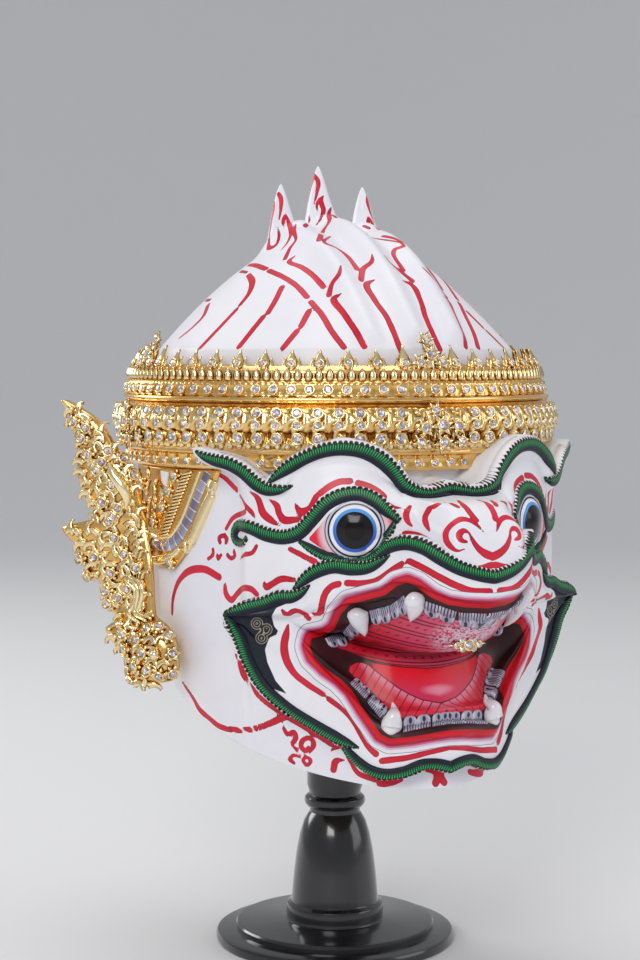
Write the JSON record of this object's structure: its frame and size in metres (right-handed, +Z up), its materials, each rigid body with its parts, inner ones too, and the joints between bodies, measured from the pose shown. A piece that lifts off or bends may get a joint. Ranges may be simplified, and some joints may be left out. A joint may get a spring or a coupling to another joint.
{
  "type": "khon mask",
  "caption": "Full-head painted monkey dance mask with open jaws, gilded jewelled headbands and flared ear ornaments, resting on a turned black stand.",
  "frame": {"origin": "centre of the stand's foot, on its underside", "axes": "+Z up, the face looks along -Y, the mask's own right side is towards -X"},
  "size_m": [0.3046, 0.2993, 0.429],
  "materials": {
    "stand": "black lacquer, glossy",
    "painted_skin": "white gesso with painted lines, satin",
    "gilt": "gold leaf set with clear glass stones, polished",
    "shell": "polished mother-of-pearl"
  },
  "bodies": {
    "root": {"display_stand": "stand", "mask_shell": "painted_skin", "coronet": "gilt", "diadem": "gilt", "ear_panel_right": "gilt", "ear_wing_right": "gilt", "upper_outer_fang_right": "shell", "upper_inner_fang_right": "shell", "lower_fang_right": "shell", "ear_panel_left": "gilt", "ear_wing_left": "gilt", "upper_outer_fang_left": "shell", "upper_inner_fang_left": "shell", "lower_fang_left": "shell", "palate_jewel": "gilt"}
  },
  "joints": []
}
